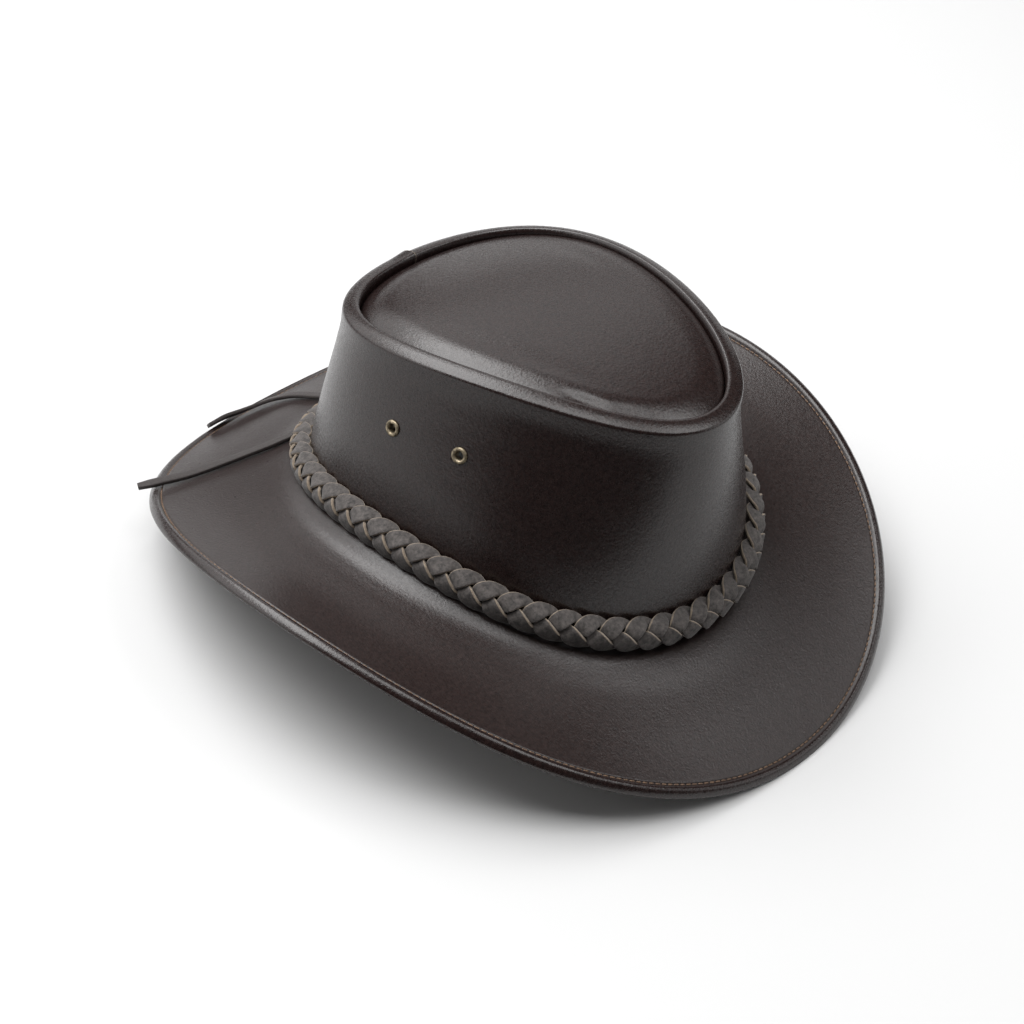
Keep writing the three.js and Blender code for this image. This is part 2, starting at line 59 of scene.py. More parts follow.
# %% Camera
camera_data = bpy.data.cameras.new("studio_camera")
camera_data.lens = 81.6
camera_data.sensor_width = 36
camera_data.clip_start = 0.05
camera_data.clip_end = 30
camera = bpy.data.objects.new("studio_camera", camera_data)
scene.collection.objects.link(camera)
to_right = Vector((0.6524, -0.7512, 0.1001))
to_top = Vector((0.4153, 0.4649, 0.7819))
to_back = Vector((-0.6339, -0.4686, 0.6153))
turned = Matrix((to_right, to_top, to_back)).transposed().to_4x4()
camera.matrix_world = Matrix.Translation((-0.6671, -0.4869, 0.6753)) @ turned
scene.camera = camera
print("camera distance:", round(camera.location.length, 3), "m")

# %% [markdown]
# ## From points to pieces
#
# Leather follows curves, so each piece here is computed as rows of points in
# millimetres and joined into a mesh once. Modifiers could thicken and smooth a sheet
# as well, but a cut edge, a fold and a groove each need their own row of points.

# %% Mesh from points in millimetres
MILLIMETRE = 0.001


def piece_from_points(name, points, faces, materials, face_material=None):
    mesh = bpy.data.meshes.new(name)
    mesh.from_pydata((np.asarray(points).reshape(-1, 3) * MILLIMETRE).tolist(), [], faces)
    for material in materials:
        mesh.materials.append(material)
    if face_material is not None:
        mesh.polygons.foreach_set("material_index", np.asarray(face_material, dtype=np.int32))
    work = bmesh.new()
    work.from_mesh(mesh)
    bmesh.ops.recalc_face_normals(work, faces=work.faces)
    work.to_mesh(mesh)
    work.free()
    mesh.shade_smooth()
    piece = bpy.data.objects.new(name, mesh)
    scene.collection.objects.link(piece)
    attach(piece, "root")
    print(name, len(mesh.vertices), "points", len(mesh.polygons), "faces")
    return piece


def ring_faces(rows, columns, close_rows):
    """Four-sided faces between rows of points that each run once round the hat."""
    faces = []
    for row in range(rows if close_rows else rows - 1):
        above = (row + 1) % rows
        for column in range(columns):
            beside_it = (column + 1) % columns
            faces.append((row * columns + column, row * columns + beside_it,
                          above * columns + beside_it, above * columns + column))
    return faces


# %% [markdown]
# ## Curves through a short table
#
# A maker's pattern gives a few measured points and a bent strip of wood gives the
# curve between them. A cubic curve through the rows of a table does the same.

# %% Curve through a table
def curve_through(rows):
    place, value = np.array(rows, dtype=float).T
    slope = np.gradient(value, place)

    def curve(at):
        at = np.clip(at, place[0], place[-1])
        i = np.clip(np.searchsorted(place, at, side="right") - 1, 0, len(place) - 2)
        span = place[i + 1] - place[i]
        s = (at - place[i]) / span
        level = (1 + 2 * s) * (1 - s) ** 2 * value[i] + s * s * (3 - 2 * s) * value[i + 1]
        return level + span * s * (s - 1) * ((s - 1) * slope[i] + s * slope[i + 1])

    return curve


def path_through(points, step):
    """Points a step apart on a smooth path through the given ones. Further columns,
    such as a lean, ride along with the first three."""
    points = np.array(points, dtype=float)
    number = np.arange(len(points))
    fine = np.linspace(0, number[-1], 40 * len(points))
    curves = [curve_through(np.c_[number, points[:, k]]) for k in range(points.shape[1])]
    dense = np.stack([curve(fine) for curve in curves], axis=1)
    length = np.r_[0, np.cumsum(np.linalg.norm(np.diff(dense[:, :3], axis=0), axis=1))]
    wanted = np.linspace(0, length[-1], max(2, round(length[-1] / step)) + 1)
    return np.stack([np.interp(wanted, length, dense[:, k]) for k in range(dense.shape[1])], axis=1)


# %% [markdown]
# ## Colours and nodes
#
# Colours are written as the hex values that a screen shows, and Blender mixes light
# in linear values, so one function turns them. One more function adds a node with its
# settings and links, which keeps each material a short list of what it is made of.

# %% Colour and node helpers
def linear(hex_colour):
    values = [int(hex_colour[i:i + 2], 16) / 255 for i in (1, 3, 5)]
    return [v / 12.92 if v <= 0.04045 else ((v + 0.055) / 1.055) ** 2.4 for v in values] + [1.0]


def new_material(name):
    material = bpy.data.materials.new(name)
    material.use_nodes = True
    material.node_tree.nodes.clear()
    return material


def add_node(material, kind, inputs=None, **settings):
    """A node of the given kind. An input is a value, or a (node, output) pair to link."""
    tree = material.node_tree
    node = tree.nodes.new(kind)
    for name, value in settings.items():
        setattr(node, name, value)
    for name, value in (inputs or {}).items():
        if isinstance(value, tuple) and isinstance(value[0], bpy.types.Node):
            tree.links.new(value[0].outputs[value[1]], node.inputs[name])
        else:
            node.inputs[name].default_value = value
    return node


def finish_material(material, shader):
    add_node(material, "ShaderNodeOutputMaterial", {"Surface": (shader, 0)})
    return material


# %% [markdown]
# ## Waxed full-grain leather
#
# The hat is cowhide of about 2 mm, dyed dark brown through and through, then waxed.
# The grain side keeps the skin's pores, so its shine breaks up into fine glints about
# a millimetre apart, and wax gives a soft sheen over a nearly black brown. Pores of
# 0.2 mm would be too fine to show, so the grain is drawn at about 1 mm. The folded hem
# is rubbed smooth by hands, so it has the same dye and a closer polish.

# %% Waxed leather
def millimetre_noise(material, size, detail=2.0, roughness=0.5):
    """Noise whose spots are about the given number of millimetres wide."""
    place = add_node(material, "ShaderNodeTexCoord")
    return add_node(material, "ShaderNodeTexNoise",
                    {"Vector": (place, "Object"), "Scale": 1000 / size, "Detail": detail,
                     "Roughness": roughness})


def spread(material, source, low, high):
    """A value between low and high that follows the source, as for a roughness."""
    return add_node(material, "ShaderNodeMapRange",
                    {"Value": (source, 0), "From Min": 0.3, "From Max": 0.7, "To Min": low, "To Max": high})


def blend(material, share, first, second):
    """A colour between two hex colours, as the share says."""
    return add_node(material, "ShaderNodeMix",
                    {"Factor": (share, 0), "A": linear(first), "B": linear(second)}, data_type="RGBA")


CREASE_DEPTH, GRAIN_DEPTH = 0.00015, 0.00014


def waxed_leather(name, dark, brown, smooth, rough):
    material = new_material(name)
    dye = millimetre_noise(material, 1.6, detail=8, roughness=0.7)
    colour = blend(material, spread(material, dye, 0, 1), dark, brown)
    wax = millimetre_noise(material, 1.3, detail=8, roughness=0.65)
    grain = millimetre_noise(material, 1.1, detail=3, roughness=0.6)
    creases = millimetre_noise(material, 5, detail=4, roughness=0.6)
    soft = add_node(material, "ShaderNodeBump",
                    {"Height": (creases, 0), "Distance": CREASE_DEPTH, "Strength": 0.5})
    pores = add_node(material, "ShaderNodeBump",
                     {"Height": (grain, 0), "Distance": GRAIN_DEPTH, "Strength": 0.85, "Normal": (soft, 0)})
    polish = spread(material, wax, smooth, rough)
    shader = add_node(material, "ShaderNodeBsdfPrincipled",
                      {"Base Color": (colour, "Result"), "Roughness": (polish, 0), "IOR": 1.5,
                       "Normal": (pores, 0)})
    return finish_material(material, shader)


CROWN_LEATHER = waxed_leather("waxed_cowhide_crown", "#110b0b", "#271b19", 0.2, 0.34)
BRIM_LEATHER_LOOK = waxed_leather("waxed_cowhide_brim", "#150e0d", "#2b201e", 0.26, 0.4)
BURNISHED_HEM = waxed_leather("waxed_cowhide_burnished_hem", "#110b0b", "#271b19", 0.14, 0.34)
print("waxed leather: 3 materials")

# %% [markdown]
# ## The other side of the leather, and its cut edges
#
# The flesh side is the inside of the hide. It is left raw, so it is a short brown nap
# that scatters light. A knife cut shows the same fibres end on, in a lighter tan.

# %% Flesh side, suede strip, cut edge
NAP_DEPTH = 0.0003


def napped_leather(name, dark, light, nap, roughness, sheen):
    material = new_material(name)
    tone = millimetre_noise(material, nap * 2.5, detail=6, roughness=0.7)
    colour = blend(material, spread(material, tone, 0, 1), dark, light)
    fibres = millimetre_noise(material, nap, detail=4, roughness=0.7)
    raised = add_node(material, "ShaderNodeBump",
                      {"Height": (fibres, 0), "Distance": NAP_DEPTH, "Strength": 0.8})
    shader = add_node(material, "ShaderNodeBsdfPrincipled",
                      {"Base Color": (colour, "Result"), "Roughness": roughness, "IOR": 1.45,
                       "Sheen Weight": sheen, "Sheen Roughness": 0.5, "Normal": (raised, 0)})
    return finish_material(material, shader)


FLESH_SIDE = napped_leather("cowhide_flesh_side", "#2a1e19", "#3a2c25", 0.9, 0.85, 0.15)
SUEDE_STRIP = napped_leather("suede_strip", "#171413", "#595350", 0.8, 0.75, 0.15)
CUT_EDGE = napped_leather("cut_leather_edge", "#62564a", "#8f8170", 0.6, 0.8, 0.2)
DARK_LACE = napped_leather("dark_leather_lace", "#1f1918", "#2f2725", 0.8, 0.6, 0.1)
print("napped leather: 4 materials")

# %% [markdown]
# ## Thread and brass
#
# The hem is sewn with waxed brown thread, twisted from fibres too fine to show. The
# eyelets are pressed from brass sheet and browned by hand, so their hollows are dark
# and the worn crests are pale.

# %% Thread and brass
def waxed_thread():
    material = new_material("waxed_brown_thread")
    twist = millimetre_noise(material, 0.5, detail=2)
    colour = blend(material, spread(material, twist, 0, 1), "#3b2b22", "#80664f")
    shader = add_node(material, "ShaderNodeBsdfPrincipled",
                      {"Base Color": (colour, "Result"), "Roughness": 0.6, "IOR": 1.5})
    return finish_material(material, shader)


def browned_brass():
    material = new_material("browned_brass")
    patina = millimetre_noise(material, 1.2, detail=5)
    colour = blend(material, spread(material, patina, 0, 1), "#5f5749", "#ab9e87")
    shader = add_node(material, "ShaderNodeBsdfPrincipled",
                      {"Base Color": (colour, "Result"), "Metallic": 1.0,
                       "Roughness": (spread(material, patina, 0.62, 0.48), 0)})
    return finish_material(material, shader)


THREAD = waxed_thread()
BRASS = browned_brass()
print("thread and brass: 2 materials")

# %% [markdown]
# ## The lines of the hat
#
# Three closed lines carry the whole shape: where the crown meets the brim, the seam
# of the crown top, and the brim's edge. Each is an oval that is fuller at one end and
# bent up and down. An angle of 0 is the front, a quarter turn is the wearer's right.

# %% Lines of the hat
GAP = 0.3
BREAK = dict(half_length=102.75, half_width=85.5, centre=1.5, egg=0.03, square=0.057,
             height=42.5, pitch=0.9, saddle=11.2)
SEAM = dict(half_length=84.8, half_width=60, centre=-1.7, egg=-0.256, square=0.056,
            height=134.3, pitch=5.8, saddle=5.8)
EDGE = dict(half_length=168.3, half_width=157, centre=0, egg=-0.016, square=0.045,
            height=29.8, pitch=0, saddle=29.5)


def line_point(line, t):
    """Points of a line at the angles t, in millimetres."""
    full = 1 + line["egg"] * np.cos(t) + line["square"] * (1 + np.cos(2 * t))
    return np.stack([-line["half_width"] * np.sin(t) * full,
                     line["centre"] - line["half_length"] * np.cos(t),
                     line["height"] + line["pitch"] * np.cos(t) - line["saddle"] * np.cos(2 * t)], axis=-1)


def unit(vectors):
    return vectors / np.linalg.norm(vectors, axis=-1, keepdims=True)


def beside(line, t, out, up):
    """Points beside a line, out and up from it."""
    along = line_point(line, t + 1e-3) - line_point(line, t - 1e-3)
    outward = unit(np.stack([-along[..., 1], along[..., 0], 0 * along[..., 0]], axis=-1))
    point = line_point(line, t) + outward * np.asarray(out, dtype=float)[..., None]
    point[..., 2] += up
    return point


around = np.linspace(0, 2 * np.pi, 361)[:-1]
BAND_TO_HEAD = 4.5
inside = beside(BREAK, around, -BAND_TO_HEAD, 0)[:, :2]
round_the_head = np.linalg.norm(inside - np.roll(inside, 1, axis=0), axis=1).sum()
print("round the head:", round(round_the_head), "mm")

# %% [markdown]
# ## Laces
#
# The band is tied with a flat lace of 5 mm, and its two ends run over the back of the
# brim and past its edge. A cord simulation would need the knot as well. The visible
# run is short and known, so each end is a ribbon carried along its route, a few
# tenths of a millimetre over the leather, and its broad side turns as the route says.

# %% Ribbon carried along a path
CORNER_ROUNDNESS = 0.16


def ribbon_outline(roundness=CORNER_ROUNDNESS):
    """Outline of a flat strip, in half widths and half thicknesses, with soft corners,
    and which of its sides are cut edges."""
    side, corner = 1 - 2 * roundness, (1 - 0.5 * roundness, 1 - 0.3 * roundness)
    top = [(-1, side), (-corner[0], corner[1]), (-0.55, 1.02), (0, 1.06), (0.55, 1.02), corner, (1, side)]
    outline = np.array(top + [(x, -y) for x, y in reversed(top)])
    is_cut = [False] * 5 + [True, True] + [False] * 6 + [True]
    return outline, is_cut


def ribbon(name, centres, sides, faces_up, half_width, half_thickness, materials):
    """A closed strip. Its cut edges take the second material."""
    outline, is_cut = ribbon_outline()
    count, size = len(centres), len(outline)
    wide = (np.ones(count) * half_width)[:, None, None]
    thick = (np.ones(count) * half_thickness)[:, None, None]
    points = (centres[:, None] + sides[:, None] * outline[None, :, 0:1] * wide
              + faces_up[:, None] * outline[None, :, 1:2] * thick)
    quads = [(i * size + j, i * size + (j + 1) % size, (i + 1) * size + (j + 1) % size, (i + 1) * size + j)
             for i in range(count - 1) for j in range(size)]
    ends = [tuple(range(size)), tuple((count - 1) * size + j for j in range(size))]
    looks = [int(is_cut[j]) for _ in range(count - 1) for j in range(size)] + [1, 1]
    return piece_from_points(name, points, quads + ends, materials, looks)


LACE_HALF_WIDTH, LACE_HALF_THICKNESS, LACE_STEP = 2.6, 0.9, 1.5
# How much narrower the last four rows are, since the lace's tip is cut slantwise.
LACE_TIP = [0.1, 0.25, 0.4, 0.6]


def lace(name, node, route):
    """A loose lace end. Each row of its route is x, y, z in millimetres and the lean
    of its broad side towards the back, in degrees."""
    rows = path_through(route, LACE_STEP)
    centres, lean = rows[:, :3], np.radians(rows[:, 3])
    along = unit(np.gradient(centres, axis=0))
    face = np.stack([0 * lean, np.sin(lean), np.cos(lean)], axis=1)
    face = unit(face - along * (face * along).sum(axis=1, keepdims=True))
    side = np.cross(along, face)
    end = np.r_[np.zeros(len(rows) - len(LACE_TIP)), LACE_TIP]
    piece = ribbon(name, centres, side, face, LACE_HALF_WIDTH * (1 - 0.5 * end), LACE_HALF_THICKNESS,
                   [DARK_LACE, DARK_LACE])
    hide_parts(node)
    return piece


# %% Two lace ends
lace("lace_end_right", "band_tail_right", [
    (-8.8, 116.3, 30.2, 26), (-15, 115.2, 29.5, 24), (-22, 113.2, 30, 24), (-30, 110.9, 31.1, 22),
    (-38.5, 110.4, 31.2, 22), (-45, 111.8, 30.5, 22), (-52, 113.6, 29.7, 20), (-65.3, 117.1, 28.6, 18),
    (-79, 120.3, 28, 14), (-91, 123, 28.1, 10), (-99, 124.8, 28.9, 8), (-104.5, 126, 29.6, 8),
    (-109, 127.8, 29.5, 8), (-113.5, 130.5, 28.7, 8)])
lace("lace_end_left", "band_tail_left", [
    (4.6, 114.9, 32, 35), (5, 119.6, 28.3, 31), (5.4, 126, 24.6, 24), (5.2, 131.5, 22.1, 24),
    (4.7, 137, 19.6, 24), (4.3, 142.5, 17.2, 25), (3.6, 147.5, 14.8, 27), (1.9, 151.8, 12.7, 30),
    (-1.2, 155, 11.2, 34), (-5.2, 157.3, 10.2, 38), (-10.5, 158.9, 9.5, 44), (-20, 161, 8.9, 50),
    (-29.2, 163.1, 8.5, 53), (-38.9, 163.3, 8.2, 53)])

# %% [markdown]
# ## Studio
#
# Dark waxed leather shows little but reflections, so the lights are its picture. The
# photograph's bright and dark bands were followed back to where they come from: much
# light from above and from behind, some from the wearer's left, and none from low down
# on the camera's side. Soft boxes stand there. A plain bright room would give the same
# floor, but it would lay one grey over the whole hat. The floor is pale, matt paper.
# A black card lies before the hat, outside the picture, so that the near side of the
# dark wall doesn't mirror a white table. Photographers of shiny dark things use one.

# %% Floor and lights
def pale_floor():
    material = new_material("matt_paper")
    shader = add_node(material, "ShaderNodeBsdfPrincipled",
                      {"Base Color": linear("#c8c8c8"), "Roughness": 0.9, "IOR": 1.45,
                       "Specular IOR Level": 0.2})
    return finish_material(material, shader)


def black_card():
    material = new_material("black_card")
    shader = add_node(material, "ShaderNodeBsdfDiffuse", {"Color": linear("#0a0a0a")})
    return finish_material(material, shader)


def studio_sheet(name, corners, material):
    """A flat sheet of the studio, from its corners in metres."""
    mesh = bpy.data.meshes.new(name)
    mesh.from_pydata(corners, [], [(0, 1, 2, 3)])
    mesh.materials.append(material)
    sheet = bpy.data.objects.new(name, mesh)
    scene.collection.objects.link(sheet)
    return sheet


FLOOR_REACH = 6
studio_sheet("studio_floor", [(-FLOOR_REACH, -FLOOR_REACH, 0), (FLOOR_REACH, -FLOOR_REACH, 0),
                              (FLOOR_REACH, FLOOR_REACH, 0), (-FLOOR_REACH, FLOOR_REACH, 0)], pale_floor())
CARD_NEAR, CARD_FAR, CARD_NEAR_HALF, CARD_FAR_HALF = 0.3, 1.6, 0.3, 1.3
CARD_CORNERS = [(CARD_NEAR, -CARD_NEAR_HALF, 0), (CARD_NEAR, CARD_NEAR_HALF, 0),
                (CARD_FAR, CARD_FAR_HALF, 0), (CARD_FAR, -CARD_FAR_HALF, 0)]
card = studio_sheet("black_card", CARD_CORNERS, black_card())
card.rotation_euler = (0, 0, math.radians(225))
card.location = (0, 0, 0.004)
# Only reflections see the card, so the floor keeps its light.
card.visible_camera = False
card.visible_diffuse = False
card.visible_shadow = False

# Name, direction from the wearer's left towards the back in degrees, height in
# degrees, distance, width, height in metres, brightness where white paper is 1.
SOFT_BOXES = [
    ("box_high_behind", 110, 61, 2.0, 2.1, 1.15, 7.5),
    ("box_overhead", 225, 80, 1.8, 0.9, 0.9, 4.5),
    ("box_back", 90, 28, 2.4, 1.9, 1.5, 1.6),
    ("box_back_right", 135, 22, 2.4, 1.9, 1.4, 2.0),
    ("box_far_side", 46, 38, 2.4, 1.7, 1.1, 1.2),
    ("box_far_side_low", 30, 10, 2.6, 2.2, 0.7, 1.0),
    ("box_left_front", 318, 17, 2.4, 1.9, 1.1, 1.4),
    ("box_left_front_high", 305, 55, 2.2, 1.4, 1.0, 3.8)]
HAT_MIDDLE = Vector((0, 0, 0.08))


def soft_box(name, direction, rise, distance, width, height, brightness):
    turn, tilt = math.radians(direction), math.radians(rise)
    away = Vector((math.cos(turn) * math.cos(tilt), math.sin(turn) * math.cos(tilt), math.sin(tilt)))
    light = bpy.data.lights.new(name, "AREA")
    light.shape = "RECTANGLE"
    light.size = width
    light.size_y = height
    light.energy = brightness * math.pi * width * height
    lamp = bpy.data.objects.new(name, light)
    lamp.location = HAT_MIDDLE + away * distance
    lamp.rotation_euler = (-away).to_track_quat("-Z", "Y").to_euler()
    lamp.visible_camera = False
    scene.collection.objects.link(lamp)


for row in SOFT_BOXES:
    soft_box(*row)
room = bpy.data.worlds.new("dark_room")
room.use_nodes = True
room.node_tree.nodes["Background"].inputs["Color"].default_value = (1, 1, 1, 1)
room.node_tree.nodes["Background"].inputs["Strength"].default_value = 0.02
scene.world = room
scene.view_settings.view_transform = "Standard"
print("lights:", len(SOFT_BOXES), "soft boxes in a dark room")

# %% [markdown]
# ## Crown wall
#
# The wall is one strip of leather, bent round and lapped at the back, then blocked so
# that it leans in and flares again under the rim. Its upper edge is rolled over and
# goes down into the seam. The roll falls gently outwards, so its outer shoulder, where
# most hands hold the hat, catches the light. Turning a curve would make it round; here
# every column of points has its own foot and head on the two lines.

# %% Crown wall shape
WALL_LEATHER, RIM_WIDTH, RIM_RISE, SEAM_DEPTH = 2.0, 7.4, 3.4, 7.0
# Share of the way from the head back to the foot, in plan, by height.
wall_lean = curve_through([(0, 1), (0.14, 0.95), (0.32, 0.78), (0.6, 0.42), (0.8, 0.15), (0.92, 0.02),
                           (1, 0)])
# Along the roll from the wall to the seam: out from the seam and up, in millimetres.
RIM_ROLL = [(0, 7.4, -1.7), (0.1, 7.32, -1.1), (0.2, 7.0, -0.5), (0.35, 6.1, 0.15), (0.5, 4.9, 0.78),
            (0.65, 3.6, 1.33), (0.8, 2.2, 1.72), (0.9, 1.15, 1.85), (0.96, 0.3, 1.5), (1, 0, -0.3)]
ROLL_END = 0.3
rim_out = curve_through([(turn, out) for turn, out, up in RIM_ROLL])
rim_up = curve_through([(turn, up) for turn, out, up in RIM_ROLL])
LAP_ANGLE, LAP_HEIGHT, LAP_DEGREES = math.radians(185.2), 0.9, 7


def wall_point(t, up):
    foot = beside(BREAK, t, 0 * t, GAP)
    head = beside(SEAM, t, RIM_WIDTH + 0 * t, -RIM_RISE / 2)
    point = head + (foot - head) * wall_lean(up)[..., None]
    point[..., 2] = foot[..., 2] + (head[..., 2] - foot[..., 2]) * up
    return point


def rim_point(t, turn):
    """The rolled rim, from its outer side (turn 0) to the seam (turn 1)."""
    return beside(SEAM, t, rim_out(turn), rim_up(turn))


def face_normals(grid):
    """Outward direction at each point of a grid of rows that run round the hat."""
    across = np.roll(grid, -1, axis=1) - np.roll(grid, 1, axis=1)
    return unit(np.cross(np.gradient(grid, axis=0), across))


def lapped_columns(count):
    """Angles round the hat, closer together at the lap."""
    even = np.linspace(0, 2 * np.pi, count + 1)[:-1]
    fine = LAP_ANGLE + np.radians([-1.6, -0.8, -0.35, -0.12, 0, 0.1, 0.2, 0.35, 0.6, 1])
    return np.unique(np.r_[even[np.abs(even - LAP_ANGLE) > np.radians(1.8)], fine])


def lap_lift(t):
    """The upper end of the strip rises over the lower one and stops at the lap."""
    before = np.degrees(LAP_ANGLE - t)
    rising = (before >= 0) & (before < LAP_DEGREES)
    return np.where(rising, LAP_HEIGHT * (1 - before / LAP_DEGREES) ** 1.5, 0)


# %% Crown wall mesh
columns = lapped_columns(400)
ups = np.linspace(0, 1, 34)[:-1]
turns = np.linspace(0, 1, 22)
depths = np.array([0.25, 0.5, 0.75, 1]) * SEAM_DEPTH
t_wall, up_wall = np.meshgrid(columns, ups)
t_rim, turn_rim = np.meshgrid(columns, turns)
t_deep, deep = np.meshgrid(columns, depths)
outer = np.concatenate([wall_point(t_wall, up_wall), rim_point(t_rim, turn_rim),
                        beside(SEAM, t_deep, 0 * deep,
                               -ROLL_END - (SEAM_DEPTH - ROLL_END) * deep / SEAM_DEPTH)])
normals = face_normals(outer)
inner = outer - normals * WALL_LEATHER
inner[0, :, 2] = outer[0, :, 2]
lift = np.broadcast_to(lap_lift(columns), outer.shape[:2]).copy()
lap_fades = np.array([0.8, 0.5, 0.2, 0, 0])
lift[-len(lap_fades):] *= lap_fades[:, None]
outer = outer + normals * lift[..., None]
wall_rows = np.concatenate([outer, inner[::-1]])
outer_count = len(outer)
row_count, column_count = wall_rows.shape[:2]
looks = np.zeros((row_count, column_count), dtype=int)
looks[outer_count:] = 1
lap_column = int(np.argmin(np.abs(columns - LAP_ANGLE)))
looks[:outer_count - 1, lap_column - 1:lap_column + 2] = 2
crown_wall = piece_from_points("leather_crown_wall", wall_rows, ring_faces(row_count, column_count, True),
                               [CROWN_LEATHER, FLESH_SIDE, CUT_EDGE], looks.ravel())
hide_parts("crown_wall")

# %% [markdown]
# ## Eyelets
#
# Two air eyelets sit in each side of the crown. Each is a short brass tube set
# through a punched hole and rolled outwards, with a washer inside. The holes are
# punched with a boolean cut, as a hand punch does, and each eyelet is turned from its
# profile.

# %% Eyelets
EYELETS = {"eyelet_right_back": (101.3, 0.626), "eyelet_right_front": (80.6, 0.646),
           "eyelet_left_back": (-101.3, 0.626), "eyelet_left_front": (-80.6, 0.646)}
# Radius and height over the leather, in millimetres: washer, tube, then the rolled head.
EYELET_PROFILE = [(1.75, -3.1), (3.3, -3.1), (3.35, -2.85), (3.3, -2.3), (2.25, -2.3), (2.25, 0.05),
                  (3.5, 0.02), (3.65, 0.18), (3.6, 0.5), (3.35, 0.8), (2.95, 0.98), (2.55, 0.98),
                  (2.15, 0.78), (1.9, 0.4), (1.78, -0.2), (1.74, -1.2)]
PUNCH_PROFILE = [(0.01, -9), (2.5, -9), (2.5, 9), (0.01, 9)]


def eyelet_place(degrees, up):
    t = np.array([math.radians(degrees)])
    up = np.array([up])
    point = wall_point(t, up)[0]
    across = (wall_point(t + 0.01, up) - wall_point(t - 0.01, up))[0]
    rise = (wall_point(t, up + 0.01) - wall_point(t, up - 0.01))[0]
    return point, unit(np.cross(rise, across))


def turned_piece(name, profile, point, axis, material, sides=40):
    first = unit(np.cross(axis, [0, 0, 1]))
    second = np.cross(axis, first)
    angle = np.linspace(0, 2 * np.pi, sides + 1)[:-1]
    ring = np.cos(angle)[:, None] * first + np.sin(angle)[:, None] * second
    rows = np.array([point + axis * height + ring * radius for radius, height in profile])
    return piece_from_points(name, rows, ring_faces(len(profile), sides, True), [material])


def punch_holes(piece, places):
    for number, (point, axis) in enumerate(places):
        punch = turned_piece(f"punch_{number}", PUNCH_PROFILE, point, axis, None)
        cut = piece.modifiers.new("punched_hole", "BOOLEAN")
        cut.operation = "DIFFERENCE"
        cut.object = punch
        graph = bpy.context.evaluated_depsgraph_get()
        made = bpy.data.meshes.new_from_object(piece.evaluated_get(graph))
        piece.modifiers.clear()
        piece.data = made
        bpy.data.objects.remove(punch)


places = {name: eyelet_place(*where) for name, where in EYELETS.items()}
punch_holes(crown_wall, places.values())
for name, (point, axis) in places.items():
    eyelet = turned_piece("brass_" + name, EYELET_PROFILE, point, axis, BRASS)
    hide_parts(name)

# %% [markdown]
# ## Crown top
#
# The top is a separate piece, wetted and blocked into a low pillow, then sewn inside
# the rim. It is nearly flat in the middle and rolls down to the seam over the last
# 15 mm, where the stitches pull it in. That roll is what shines along the near side,
# and two small puckers show where it was eased into the seam. The height is a dome
# with the roll taken off near the edge, and each pucker is a shallow oval hollow.

# %% Crown top shape
TOP_LEATHER, DOME_RISE = 2.0, 9.0
ROLL_WIDTH, ROLL_DEPTH, FAR_ROLL_DEPTH = 15.0, 4.8, 0.6
# Angle, distance in from the seam, length along the seam, width and depth of a pucker.
PUCKERS = [(math.radians(52), 6.5, 7.0, 2.6, 0.9), (math.radians(34), 5.5, 8.0, 2.6, 0.7),
           (math.radians(44), 9.0, 5.0, 2.4, -0.35), (math.radians(120), 9.5, 14.0, 5.0, 0.25),
           (math.radians(75), 19.0, 22.0, 6.0, 0.45), (math.radians(250), 16.0, 20.0, 7.0, 0.3)]


def roll_depth(t):
    """The top was eased in deeper along the wearer's right than along the left."""
    return FAR_ROLL_DEPTH + (ROLL_DEPTH - FAR_ROLL_DEPTH) * (0.5 + 0.5 * np.sin(t + 0.25)) ** 0.8


def panel_point(t, share):
    seam = beside(SEAM, t, -GAP + 0 * t, 0)
    middle = np.array([0, SEAM["centre"], SEAM["height"] + DOME_RISE])
    point = middle + (seam - middle) * share[..., None]
    inwards = (1 - share) * np.linalg.norm((seam - middle)[..., :2], axis=-1)
    roll = roll_depth(t) * np.clip(1 - inwards / ROLL_WIDTH, 0, 1) ** 2
    point[..., 2] = middle[2] + (seam[..., 2] - middle[2]) * share ** 2.2 - roll
    for angle, place, length, width, depth in PUCKERS:
        along = (np.mod(t - angle + np.pi, 2 * np.pi) - np.pi) * 70 * share
        point[..., 2] -= depth * np.exp(-(along / length) ** 2 - ((inwards - place) / width) ** 2)
    return point


# %% Crown top mesh
top_columns = np.linspace(0, 2 * np.pi, 361)[:-1]
flange = np.array([0, 0.5, 1])
shares = np.r_[1 - np.linspace(0.008, 0.25, 26), np.linspace(0.72, 0.12, 20), 0.06, 0.02]
t_flange, low = np.meshgrid(top_columns, flange)
t_dome, share_dome = np.meshgrid(top_columns, shares)
low = -SEAM_DEPTH + (SEAM_DEPTH - roll_depth(t_flange) - 0.8) * low
panel = np.concatenate([beside(SEAM, t_flange, -GAP + 0 * low, low), panel_point(t_dome, share_dome)])
under = panel - face_normals(panel) * TOP_LEATHER
rows, size = panel.shape[:2]
points = np.concatenate([under[::-1].reshape(-1, 3), panel.reshape(-1, 3)])
faces = ring_faces(2 * rows, size, False)
faces += [tuple(range(size)), tuple((2 * rows - 1) * size + i for i in range(size))]
looks = [1] * ((rows - 1) * size) + [0] * (rows * size) + [1, 0]
crown_top = piece_from_points("leather_crown_top", points, faces, [CROWN_LEATHER, FLESH_SIDE], looks)
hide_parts("crown_top")

# %% [markdown]
# ## Brim
#
# The brim is a flat oval of leather, wetted and bent up at the sides. Its inner edge
# turns up inside the crown and its outer edge is folded under round a wire, which
# makes a bead on the rim and a sewn groove beside it. The section is computed from
# the crown outwards, round the bead, and back underneath.

# %% Brim surface
BRIM_LEATHER, COLLAR_HEIGHT, COLLAR_MIDDLE, COLLAR_FOOT = 2.2, 13.0, 9.0, 5.0
